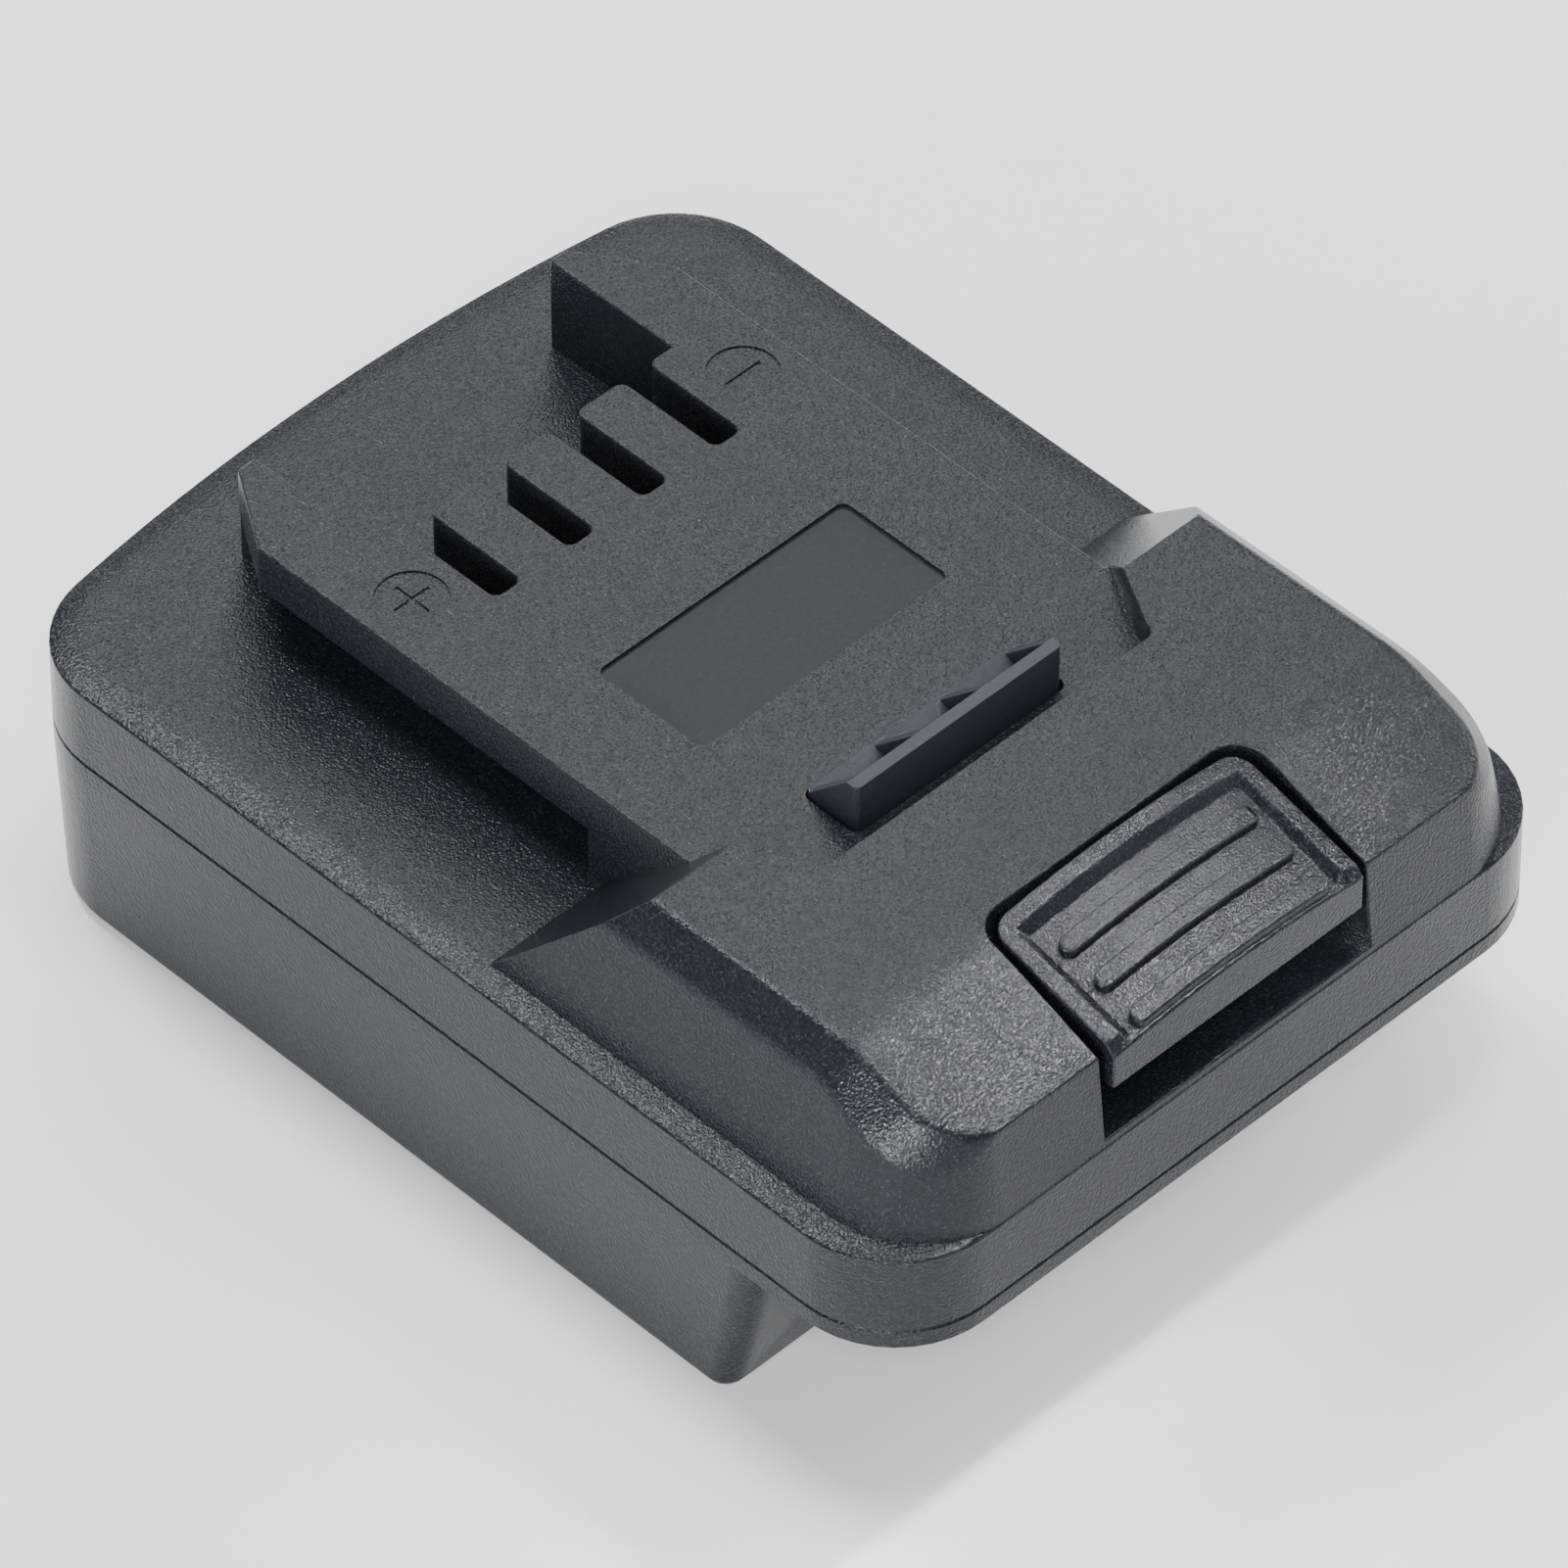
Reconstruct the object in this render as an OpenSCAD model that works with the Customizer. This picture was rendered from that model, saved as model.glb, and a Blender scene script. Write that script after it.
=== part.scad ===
// Slide-on battery adapter for a cordless tool.
// The tool slides onto the T-rails of the deck from the rear (+Y) and a spring
// latch in front of the deck holds it. A battery pack slides into the bay under
// the lower housing from the front (-Y). Origin: middle of the underside, +Z up.

/* [Body] */
// Width across the body
body_w = 76; // [72:0.5:90]
// Length from the front edge to the middle of the bowed rear edge
body_l = 104; // [100:0.5:120]
// Plan radius of the body's corners
corner_r = 9.8; // [8:0.2:12]
// Radius of the bowed rear edge
rear_bow_r = 205; // [150:5:400]
// Wall thickness of the mouldings
wall = 2; // [1.6:0.1:2.4]
// Width of the rolled-off border around the top of the cover
bevel_w = 3.4; // [1:0.1:4.5]
// Drop of that border at its outer edge
bevel_h = 0.55; // [0.2:0.05:1]
// Chamfer on each side of the parting line
parting_chamfer = 0.2; // [0.1:0.05:0.4]

/* [Heights] */
// Depth of the lower housing below its flange
housing_h = 17; // [14:0.2:20]
// Thickness of the lower housing's flange
flange_t = 1.9; // [1.6:0.1:2.6]
// Height of the cover's side wall
skirt_h = 8.4; // [8:0.2:11]
// Height of the deck above the cover's side wall
deck_h = 9.55; // [9:0.1:12]
// Height of the front block above the deck at its rear edge
block_rise = 3.3; // [2.6:0.1:4]

/* [Deck rails] */
// Width across the rail flanges
rail_w = 46.5; // [44:0.5:52]
// Width across the web under the flanges
web_w = 36.6; // [35:0.2:38]
// Height of the groove under each flange
groove_h = 4.9; // [4.4:0.1:6]
// Gap between the two rear prongs
prong_gap = 32.7; // [32:0.1:33.5]
// Distance of the prong tips from the rear edge
prong_inset = 9.5; // [6:0.5:12]
// Length of the lead-in chamfer on each prong
lead_in = 7.7; // [4:0.1:10]
// Length of the deck between the groove stop and the prong tips
rail_l = 45.3; // [40:0.1:50]

/* [Terminal slots] */
// Spacing of the slots
slot_pitch = 8.14; // [8:0.02:8.4]
// Width of a slot
slot_w = 2.83; // [2.6:0.01:3.2]
// Length of a slot
slot_l = 10.8; // [10:0.1:14]
// Distance from the prong tips to the ends of the fingers between the slots
finger_setback = 14.2; // [13:0.1:16]
// Radius on the fingers' ends
finger_r = 1; // [0.4:0.1:1.2]

/* [Deck marks] */
// Radius of a polarity mark's shallow disc
mark_r = 3.1; // [2.6:0.1:3.4]
// Length of a polarity stroke
mark_stroke = 3.8; // [3:0.1:4.4]
// Width of a polarity stroke
mark_line = 0.35; // [0.25:0.05:0.6]
// Depth of the marks and of the bare label field
mark_depth = 0.3; // [0.2:0.05:0.5]
// Width of the label field
label_w = 27.4; // [20:0.2:30]
// Length of the label field
label_l = 12; // [8:0.2:14]

/* [Front block] */
// Width of the ledge between the body's side and the foot of the block
ledge_w = 2.45; // [2.2:0.05:4]
// Distance from the foot of the block's side to the edge of its top, seen from above
block_side_run = 5.15; // [4.4:0.05:7]
// Inward lean of the side walls for each mm of height
side_lean = 0.25; // [0.15:0.01:0.3]
// Distance from the front edge to the foot of the block's rear slope
block_foot = 47.4; // [46:0.1:50]
// Distance from the front edge to the crease where the top turns down
block_crease = 12.6; // [11.5:0.1:14]
// Rise of the top from its rear edge to the crease
crest_rise = 0.25; // [0:0.05:0.6]
// Fall of the front part for each mm of length
front_fall = 0.38; // [0.3:0.01:0.42]
// Plan radius of the block's front corners
block_corner = 9.5; // [8:0.1:10.5]
// Length of the rounding on each side of the block's upper edges
block_fillet = 0.6; // [0.3:0.05:0.9]
// Half length of the soft bend at the crease
crease_bend = 2.2; // [0.8:0.1:2.6]

/* [Latch] */
// Width of the latch tongue
tongue_w = 22.8; // [20:0.2:24]
// Length of the latch tongue along the deck
tongue_l = 5.7; // [5:0.1:7]
// Height of the tongue's rim above the deck
tongue_rise = 4.45; // [4:0.05:4.5]
// Thickness of the rim
rim_t = 1.2; // [1:0.1:1.6]
// Thickness of the ribs behind the rim
rib_t = 1; // [0.8:0.1:1.4]
// Distance from the front edge to the tongue's front face
tongue_front = 31; // [30.5:0.1:32]
// Travel of the latch when the button is pressed
travel = 4.6; // [4.5:0.1:4.8]
// Clearance around the moving latch
run_gap = 0.35; // [0.3:0.05:0.5]

/* [Button] */
// Width of the release button
button_w = 27.8; // [26:0.2:30]
// Length of the release button
button_l = 13.9; // [13:0.1:14.4]
// Crown of the button from its edges to its middle
button_crown = 1; // [0.4:0.1:1.4]
// Dark gap between the button and the block
button_gap = 0.9; // [0.5:0.1:1.1]
// Fall of the button's top for each mm of length
button_fall = 0.255; // [0.22:0.005:0.3]
// Width of the button's raised rim, on three sides of its panel
button_rim = 1.3; // [1.2:0.1:2.2]
// Width of the soft slope from the rim down to the panel
panel_slope = 1.15; // [0.6:0.05:1.4]
// Depth of the panel inside the rim
panel_depth = 0.8; // [0.3:0.05:1]
// Number of grip ribs
grip_count = 3; // [2:1:3]
// Length of a grip rib
grip_l = 21.4; // [16:0.2:23]
// Width of a grip rib
grip_w = 1.7; // [1:0.1:2]
// Spacing of the grip ribs
grip_pitch = 3.85; // [2.8:0.05:4]

/* [Battery bay] */
// Distance from the front edge to the mouth of the bay, at the bottom
bay_mouth = 18.8; // [17:0.1:22]
// Forward lean of the mouth's face from the bottom up to the flange
mouth_lean = 3.2; // [0:0.1:4]
// Distance from the rear edge to the end of the bay
bay_end = 12; // [11:0.5:14]
// Width of the bay above its rails
bay_w = 59.4; // [58:0.2:64]
// Width of the opening between the rails
bay_neck = 53; // [50:0.5:56]
// Thickness of the bay's rails
bay_rail_t = 5; // [3:0.1:6]
// Inward lean of the housing's walls from the flange to the bottom
housing_draft = 0.6; // [0.2:0.1:1]

/* [Terminals] */
// Thickness of a male blade
blade_t = 0.8; // [0.6:0.1:1]
// Height of a power blade
blade_h = 6; // [4:0.2:7]
// Free length of a blade in the bay
blade_l = 14; // [10:0.5:18]
// Spacing of a power blade from the middle
blade_x = 14; // [12:0.5:16]
// Sheet thickness of the female clips
clip_t = 0.45; // [0.3:0.05:0.5]
// Length of a female clip
clip_l = 8; // [6:0.5:8.5]
// Diameter of a power lead
power_lead_d = 2.4; // [1.8:0.1:2.6]
// Diameter of a signal lead
signal_lead_d = 1.2; // [1:0.1:1.4]
// Width of the signal board
board_w = 29; // [26:0.5:31]
// Length of the signal board
board_l = 21; // [18:0.5:22]
// Thickness of the signal board
board_t = 1.6; // [1:0.1:2]

/* [Springs] */
// Outer diameter of a latch spring
spring_d = 6.4; // [5.6:0.1:7]
// Wire diameter of a latch spring
spring_wire = 0.6; // [0.5:0.05:0.8]
// Turns of a latch spring
spring_turns = 6; // [4:1:7]
// Distance of a latch spring from the middle
spring_x = 9; // [8:0.5:11]

/* [Screws] */
// Shank diameter of a housing screw
screw_d = 3; // [2.6:0.1:3.2]
// Length of a housing screw under its head
screw_l = 12; // [10:0.5:12.5]
// Shank diameter of a small screw
small_screw_d = 2.4; // [2:0.1:2.6]
// Length of a terminal block screw under its head
block_screw_l = 8; // [6:0.5:10]
// Clearance between a fixed piece and its seat, on each side
fit = 0.05; // [0.02:0.01:0.1]

/* [Hidden] */
$fn = 40;

// Levels
z_flange = housing_h;
z_part = z_flange + flange_t;
z_plate = z_part + skirt_h;
z_ceiling = z_plate - wall;
z_groove = z_plate + groove_h;
z_deck = z_plate + deck_h;
z_block = z_deck + block_rise;
z_crest = z_block + crest_rise;
z_top = z_crest + 5;
z_roof = z_deck - wall;

// Places along the length
y_front = -body_l / 2;
y_rear = body_l / 2;
y_prong = y_rear - prong_inset;
y_finger = y_prong - finger_setback;
y_slot = y_finger - slot_l;
y_stop = y_prong - rail_l;
y_foot = y_front + block_foot;
y_crease = y_front + block_crease;
y_mouth = y_front + bay_mouth;
y_bay_end = y_rear - bay_end;
y_tongue = y_front + tongue_front;

// Colours
black_plastic = [0.20, 0.21, 0.23];
dark_plastic = [0.12, 0.12, 0.13];
brass = [0.80, 0.66, 0.36];
steel = [0.72, 0.73, 0.75];
board_green = [0.10, 0.36, 0.20];

// Plan outline: rounded front corners, rear corners that run into the bow
corner_n = 10;
bow_n = 14;
rear_cx = body_w / 2 - corner_r;
bow_cy = y_rear - rear_bow_r;
rear_cy = bow_cy + sqrt(pow(rear_bow_r - corner_r, 2) - pow(rear_cx, 2));
bow_a = atan2(rear_cy - bow_cy, rear_cx);
least_r = 0.3;
bevel_n = 6;
overlap = 0.01;

function arc(c, rx, ry, a0, a1, steps, first, last) =
    [for (i = [first:last]) let (a = a0 + (a1 - a0) * i / steps) [c[0] + rx * cos(a), c[1] + ry * sin(a)]];

function plan(inset, front_y, front_r) =
    let (r = max(front_r - inset, least_r),
         c = [body_w / 2 - inset - r, front_y + inset + r],
         q = corner_r - inset,
         b = rear_bow_r - inset)
    concat(
        arc(c, r, r, -90, 0, corner_n, 0, corner_n),
        arc([rear_cx, rear_cy], q, q, 0, bow_a, corner_n, 0, corner_n - 1),
        arc([0, bow_cy], b, b, bow_a, 180 - bow_a, bow_n, 0, bow_n),
        arc([-rear_cx, rear_cy], q, q, 180 - bow_a, 180, corner_n, 1, corner_n),
        arc([-c[0], c[1]], r, r, 180, 270, corner_n, 0, corner_n));

function at_z(points, z) = [for (p = points) [p[0], p[1], z]];
function body_ring(inset, z) = at_z(plan(inset, y_front, corner_r), z);

// Faces between m rings of n points each, in triangles
function ring_faces(n, m) = concat(
    [for (k = [0:m - 2], i = [0:n - 1]) [k * n + i, (k + 1) * n + i, (k + 1) * n + (i + 1) % n]],
    [for (k = [0:m - 2], i = [0:n - 1]) [k * n + i, (k + 1) * n + (i + 1) % n, k * n + (i + 1) % n]]);

// Solid through a row of rings with equal numbers of points
module loft(rings) {
    n = len(rings[0]);
    m = len(rings);
    polyhedron(
        points = [for (r = rings, p = r) p],
        faces = concat(
            [[for (i = [0:n - 1]) i]],
            [[for (i = [n - 1:-1:0]) (m - 1) * n + i]],
            ring_faces(n, m)),
        convexity = 6);
}

// Box between two corners
module block(a, b) {
    translate(a) cube(b - a);
}

// Upright box with rounded vertical edges
module rounded_box(x, y0, y1, z0, z1, r) {
    translate([0, 0, z0]) linear_extrude(z1 - z0) rounded_plan(x, y0, y1, r);
}

module rounded_plan(x, y0, y1, r) {
    translate([-x, y0 + r]) square([2 * x, y1 - y0 - 2 * r]);
    translate([-x + r, y0]) square([2 * x - 2 * r, y1 - y0]);
    for (sx = [-1, 1], y = [y0 + r, y1 - r]) translate([sx * (x - r), y]) circle(r);
}

module both_sides() {
    children();
    mirror([1, 0, 0]) children();
}

// Prism across the width, from a profile of (y, z) points
module cross_prism(profile, x0, x1) {
    translate([x0, 0, 0]) rotate([90, 0, 90]) linear_extrude(x1 - x0) polygon(profile);
}

// Front block
block_half = body_w / 2 - ledge_w;
block_top_half = block_half - block_side_run;
block_front_inset = 0.15;
front_lean = 0.1;
edge_inset = 1.1;
y_edge = y_front + edge_inset;
edge_slope = 1.44;
side_slope = 1.04;
top_corner = 5;
corner_growth = 1.67;
block_n = 16;
crease_n = 3;
fillet_n = 4;
fillet_share = 0.35;
y_block_top = y_foot - (z_block - z_plate);

// Height of the block's flat top and of its front slope, each carried on as a plane
function flat_z(y) = z_block + (y_block_top - y) * crest_rise / (y_block_top - y_crease);
function slope_z(y) = z_crest - (y_crease - y) * front_fall;
// Soft bend between the two planes
crease_turn = front_fall + crest_rise / (y_block_top - y_crease);
crease_drop = crease_turn * crease_bend / 4;
function crest_z(y) = min(flat_z(y), slope_z(y))
    - crease_drop * pow(max(1 - abs(y - y_crease) / crease_bend, 0), 2);

// Outline seen from above, open to the rear, with points where the crease bends
crease_rows = [for (k = [-crease_n:crease_n]) y_crease + crease_bend * k / crease_n];
function edge_plan(half, front, r) =
    let (c = [half - r, front + r])
    concat(arc(c, r, r, -90, 0, block_n, 0, block_n),
        [for (y = crease_rows) [half, y]],
        [[half, y_foot + wall], [-half, y_foot + wall]],
        [for (k = [2 * crease_n:-1:0]) [-half, crease_rows[k]]],
        arc([-c[0], c[1]], r, r, 180, 270, block_n, 0, block_n));

// Points of the chamfer around the top, drop below the top edge: wider at the corners
function chamfer_ring(drop) =
    [for (p = edge_plan(block_top_half + drop / side_slope, y_edge - drop / edge_slope,
        top_corner + corner_growth * drop)) [p[0], p[1], crest_z(p[1]) - drop]];

// Points on the top where its rounding starts
function inner_ring(inset) =
    [for (p = edge_plan(block_top_half - inset, y_edge + inset, top_corner - inset))
        [p[0], p[1], crest_z(p[1])]];

// Rounding of a corner b, from a point towards a to a point towards c
function curve(a, b, c, t) = (1 - t) * (1 - t) * a + 2 * t * (1 - t) * b + t * t * c;
function toward(a, b) = a + (b - a) * min(block_fillet / norm(b - a), fillet_share);

// Leaning wall: an elliptic cone at each front corner that runs into flat sides and front.
// The measure is 1 on the wall, in steps across [side, front]
wall_c = [block_half - block_corner, y_front + block_front_inset + block_corner];
function wall_r(z) = block_corner * [1, 1] - (z - z_plate) * [side_lean, front_lean];
function wall_step(p) =
    let (r = wall_r(p[2])) [max(abs(p[0]) - wall_c[0], 0) / r[0], max(wall_c[1] - p[1], 0) / r[1]];

// Drop at which the chamfer of point i meets the wall, found by halving
function meet(i, low, high, n) =
    let (mid = (low + high) / 2)
    n == 0 ? mid
    : norm(wall_step(chamfer_ring(mid)[i])) > 1 ? meet(i, low, mid, n - 1) : meet(i, mid, high, n - 1);

// Point of the wall's foot under a point of the wall
function foot(p, z) =
    let (s = wall_step(p), r = wall_r(z))
    [s[0] > 0 ? sign(p[0]) * (wall_c[0] + s[0] * r[0]) : p[0], s[1] > 0 ? wall_c[1] - s[1] * r[1] : p[1], z];

module block_columns() {
    top = chamfer_ring(0);
    inner = inner_ring(block_fillet);
    n = len(top);
    shoulder = [for (i = [0:n - 1]) chamfer_ring(meet(i, 0, deck_h, 20))[i]];
    base = [for (p = shoulder) foot(p, z_plate - wall / 2)];
    lower = [for (k = [0:fillet_n], i = [0:n - 1])
        curve(toward(shoulder[i], base[i]), shoulder[i], toward(shoulder[i], top[i]), k / fillet_n)];
    upper = [for (k = [0:fillet_n], i = [0:n - 1])
        curve(toward(top[i], shoulder[i]), top[i], inner[i], k / fillet_n)];
    rings = 2 * fillet_n + 3;
    cap = (rings - 1) * n * [1, 1, 1];
    polyhedron(
        points = concat(base, lower, upper),
        faces = concat(
            [[for (i = [0:n - 1]) i]],
            ring_faces(n, rings),
            [for (i = [0:n / 2 - 2]) cap + [n - 1 - i, n - 2 - i, i + 1]],
            [for (i = [0:n / 2 - 2]) cap + [n - 1 - i, i + 1, i]]),
        convexity = 4);
}

module block_solid() {
    intersection() {
        block_columns();
        cross_prism([[y_front - wall, z_plate - wall], [y_foot + wall, z_plate - wall],
            [y_foot - (z_top - z_plate), z_top], [y_front - wall, z_top]], -body_w, body_w);
    }
}

// Deck with rails, prongs and terminal slots
rail_half = rail_w / 2;
web_half = web_w / 2;
prong_half = prong_gap / 2;
deck_lap = 4;
y_deck_front = y_tongue - deck_lap;
slot_count = 4;
slot_half_span = (slot_count - 1) / 2 * slot_pitch;
slot_end_r = 0.8;
function slot_x(i) = i * slot_pitch - slot_half_span;

// Corner piece that rounds a convex corner when it is cut away
module corner_cut(x, y, sx, r) {
    translate([x, y]) scale([sx, 1]) difference() {
        translate([-overlap, -r]) square([r + overlap, r + overlap]);
        translate([r, -r]) circle(r);
    }
}

module deck_plan(half) {
    difference() {
        polygon([[-half, y_deck_front], [half, y_deck_front], [half, y_prong - lead_in],
            [web_half, y_prong], [-web_half, y_prong], [-half, y_prong - lead_in]]);
        translate([-prong_half, y_finger]) square([prong_gap, finger_setback + wall]);
        for (i = [0:slot_count - 1]) {
            translate([slot_x(i), 0]) rounded_plan(slot_w / 2, y_slot, y_finger + wall, slot_end_r);
            corner_cut(slot_x(i) + slot_w / 2, y_finger, 1, finger_r);
            corner_cut(slot_x(i) - slot_w / 2, y_finger, -1, finger_r);
        }
    }
}

module deck_solid() {
    translate([0, 0, z_groove]) linear_extrude(z_deck - z_groove) deck_plan(rail_half);
    translate([0, 0, z_plate - wall / 2]) linear_extrude(groove_h + wall / 2 + overlap) intersection() {
        deck_plan(rail_half);
        translate([-web_half, y_deck_front]) square([web_w, body_l]);
    }
    block([-rail_half, y_deck_front, z_plate - wall / 2], [rail_half, y_stop, z_groove + overlap]);
}

// Cavities inside the cover
cavity_half = block_half - side_lean * deck_h - wall;
cavity_r = 5;
cavity_inset = 4.6;
y_cavity = y_front + cavity_inset;
y_cavity_end = y_foot - deck_h - wall;
deck_cavity_half = web_half - wall;
latch_half = deck_cavity_half - run_gap;
plate_lap = 1.5;
y_plate_end = y_tongue + tongue_l + plate_lap;

module cover_cavity() {
    loft([body_ring(wall, z_part - 1), body_ring(wall, z_ceiling)]);
    rounded_box(cavity_half, y_cavity, y_cavity_end, z_part, z_roof, cavity_r);
    block([-deck_cavity_half, y_cavity_end - wall, z_part], [deck_cavity_half, y_slot - wall, z_roof]);
}

// Recess in the block around the latch, and the openings for latch and button
recess_back = 23.7;
recess_front = 18.5;
recess_l = 10;
recess_r = 1;
recess_ahead = 3.3;
y_recess = y_tongue - recess_ahead;
recess_lean = (recess_back - recess_front) / recess_l;

module recess_cut() {
    run = y_foot - y_recess;
    translate([0, 0, z_deck]) linear_extrude(z_top) {
        polygon([[-recess_front, y_recess + recess_r], [-recess_front + recess_r, y_recess],
            [recess_front - recess_r, y_recess], [recess_front, y_recess + recess_r],
            [recess_front + recess_lean * run, y_recess + run],
            [-recess_front - recess_lean * run, y_recess + run]]);
        for (sx = [-1, 1])
            translate([sx * (recess_front - recess_r), y_recess + recess_r]) circle(recess_r);
    }
}

button_half = button_w / 2;
button_inset = 0.35;
y_button_front = y_front + button_inset;
y_button = y_button_front + button_l;
opening_r = 2.9;
lip_room = 0.4;
floor_gap = 0.1;
tongue_back_gap = 0.15;
tongue_r = 0.55;

module latch_openings() {
    rounded_box(tongue_w / 2 + run_gap, y_tongue - run_gap, y_tongue + tongue_l + tongue_back_gap,
        z_roof - 1, z_top, tongue_r + run_gap);
    rounded_box(button_half + button_gap, y_front - 2 * opening_r, y_button + button_gap,
        z_plate + floor_gap, z_top, opening_r);
}

mark_x = 18.4;
mark_back = 6.2;
label_back = 11.6;
label_r = 0.8;
y_label = y_slot - label_back;

module mark_disc(x, strokes) {
    y = y_finger - mark_back;
    translate([x, y, z_deck - mark_depth / 2]) cylinder(h = wall, r = mark_r);
    for (a = strokes) translate([x, y, z_deck - mark_depth]) rotate([0, 0, a])
        translate([-mark_stroke / 2, -mark_line / 2, 0]) cube([mark_stroke, mark_line, wall]);
}

module deck_marks() {
    mark_disc(-mark_x, [0, 90]);
    mark_disc(mark_x, [0]);
    rounded_box(label_w / 2, y_label - label_l, y_label, z_deck - mark_depth, z_deck + wall, label_r);
}

module slot_floor_cuts() {
    for (i = [0:slot_count - 1])
        translate([slot_x(i), 0, 0])
            rounded_box(slot_w / 2, y_slot, y_finger - finger_r, z_ceiling - 1, z_plate + 1, slot_end_r);
}

// Screw bosses, guides for the latch and pegs for the board, all in the cover
boss_d = 7;
front_boss_inset = 8.5;
rear_boss_inset = [10.5, 8];
front_boss = [body_w / 2 - front_boss_inset, y_front + front_boss_inset];
rear_boss = [body_w / 2 - rear_boss_inset[0], y_rear - rear_boss_inset[1]];
seat_rise = 4;
z_front_seat = z_part + seat_rise;
hole_d = screw_d + 2 * fit;
head_d = 5.6;
head_h = 1.8;
head_room = 0.4;
tip_room = 0.4;
front_head_sink = 1;
z_front_head = z_part + front_head_sink;
z_rear_head = z_ceiling - tip_room - screw_l;
guide_t = 2;
guide_l = 4;
guide_h = 8;
guide_root = 0.5;
board_back = 4.5;
standoff = 3;
standoff_d = 5;
y_board_end = y_slot - board_back;
y_board = y_board_end - board_l;
z_board = z_roof - standoff - board_t;
board_screw_inset = 3.5;
board_screw = [board_w / 2 - board_screw_inset, (y_board + y_board_end) / 2];
small_hole_d = small_screw_d + 2 * fit;

module cover_bosses() {
    guide_x = latch_half + run_gap;
    translate([front_boss[0], front_boss[1], z_front_seat])
        cylinder(h = z_roof - z_front_seat + wall / 2, d = boss_d);
    translate([rear_boss[0], rear_boss[1], z_part]) cylinder(h = skirt_h - wall / 2, d = boss_d);
    for (y = [y_button + button_gap, y_tongue + tongue_l - guide_l])
        block([guide_x, y, z_roof - guide_h], [guide_x + guide_t, y + guide_l, z_roof + guide_root]);
    translate([board_screw[0], board_screw[1], z_board + board_t])
        cylinder(h = standoff + guide_root, d = standoff_d);
}

module cover_holes() {
    translate([front_boss[0], front_boss[1], z_front_seat - 1])
        cylinder(h = z_front_head + screw_l + tip_room - z_front_seat + 1, d = hole_d);
    translate([rear_boss[0], rear_boss[1], z_part - 1]) cylinder(h = z_ceiling - z_part + 1, d = hole_d);
    translate([board_screw[0], board_screw[1], z_board])
        cylinder(h = board_t + standoff + tip_room, d = small_hole_d);
}

module upper_cover() {
    color(black_plastic) difference() {
        union() {
            difference() {
                union() {
                    loft(concat(
                        [body_ring(parting_chamfer, z_part), body_ring(0, z_part + parting_chamfer)],
                        [for (k = [0:bevel_n]) body_ring(bevel_w * k / bevel_n,
                            z_plate - bevel_h * pow(1 - k / bevel_n, 2))]));
                    deck_solid();
                    block_solid();
                }
                cover_cavity();
                recess_cut();
            }
            both_sides() cover_bosses();
        }
        latch_openings();
        slot_floor_cuts();
        deck_marks();
        both_sides() cover_holes();
    }
}

// Lower housing: flange, box with the battery bay, seats for what it carries
bottom_r = 1.2;
bottom_step = 0.3;
mouth_r = 2.6;
core_wall = 1.8;
core_in = bay_w / 2 + core_wall;
core_out = body_w / 2 - wall - housing_draft;
core_floor = 2.2;
rear_core_half = bay_neck / 2 - 4;
catch_half = 10;
catch_l = 7;
catch_h = 3;
catch_inset = 9;
y_catch = y_front + catch_inset;
peg_d = 2.5;
peg_h = 2;
y_peg = y_slot + slot_l / 2;
post_room = 0.6;
spring_post_d = spring_d - 2 * spring_wire - post_room;
post_h = 3;
spring_back = 9.5;
y_spring = y_crease + spring_back;
tail_room = 0.4;

// Outline of the box under the flange, with its leaning front
function box_ring(inset, z) =
    at_z(plan(inset, y_mouth - mouth_lean * min(z / z_flange, 1), mouth_r), z);

module housing_solid() {
    loft([body_ring(0, z_flange), body_ring(0, z_part - parting_chamfer),
        body_ring(parting_chamfer, z_part)]);
    loft([box_ring(housing_draft + bottom_r, 0),
        box_ring(housing_draft + bottom_r * bottom_step, bottom_r * bottom_step),
        box_ring(housing_draft, bottom_r),
        box_ring(0, z_flange),
        box_ring(0, z_flange + flange_t / 2)]);
    block([-catch_half - wall, y_catch - wall, z_part - overlap],
        [catch_half + wall, y_catch + catch_l + wall, z_part + catch_h]);
    for (sx = [-1, 1]) {
        translate([sx * front_boss[0], front_boss[1], z_part - overlap])
            cylinder(h = seat_rise + overlap, d = boss_d + 1);
        translate([sx * spring_x, y_spring, z_part - overlap]) cylinder(h = post_h, d = spring_post_d);
        translate([sx * slot_pitch, y_peg, z_part - overlap]) cylinder(h = peg_h, d = peg_d);
    }
}

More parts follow.
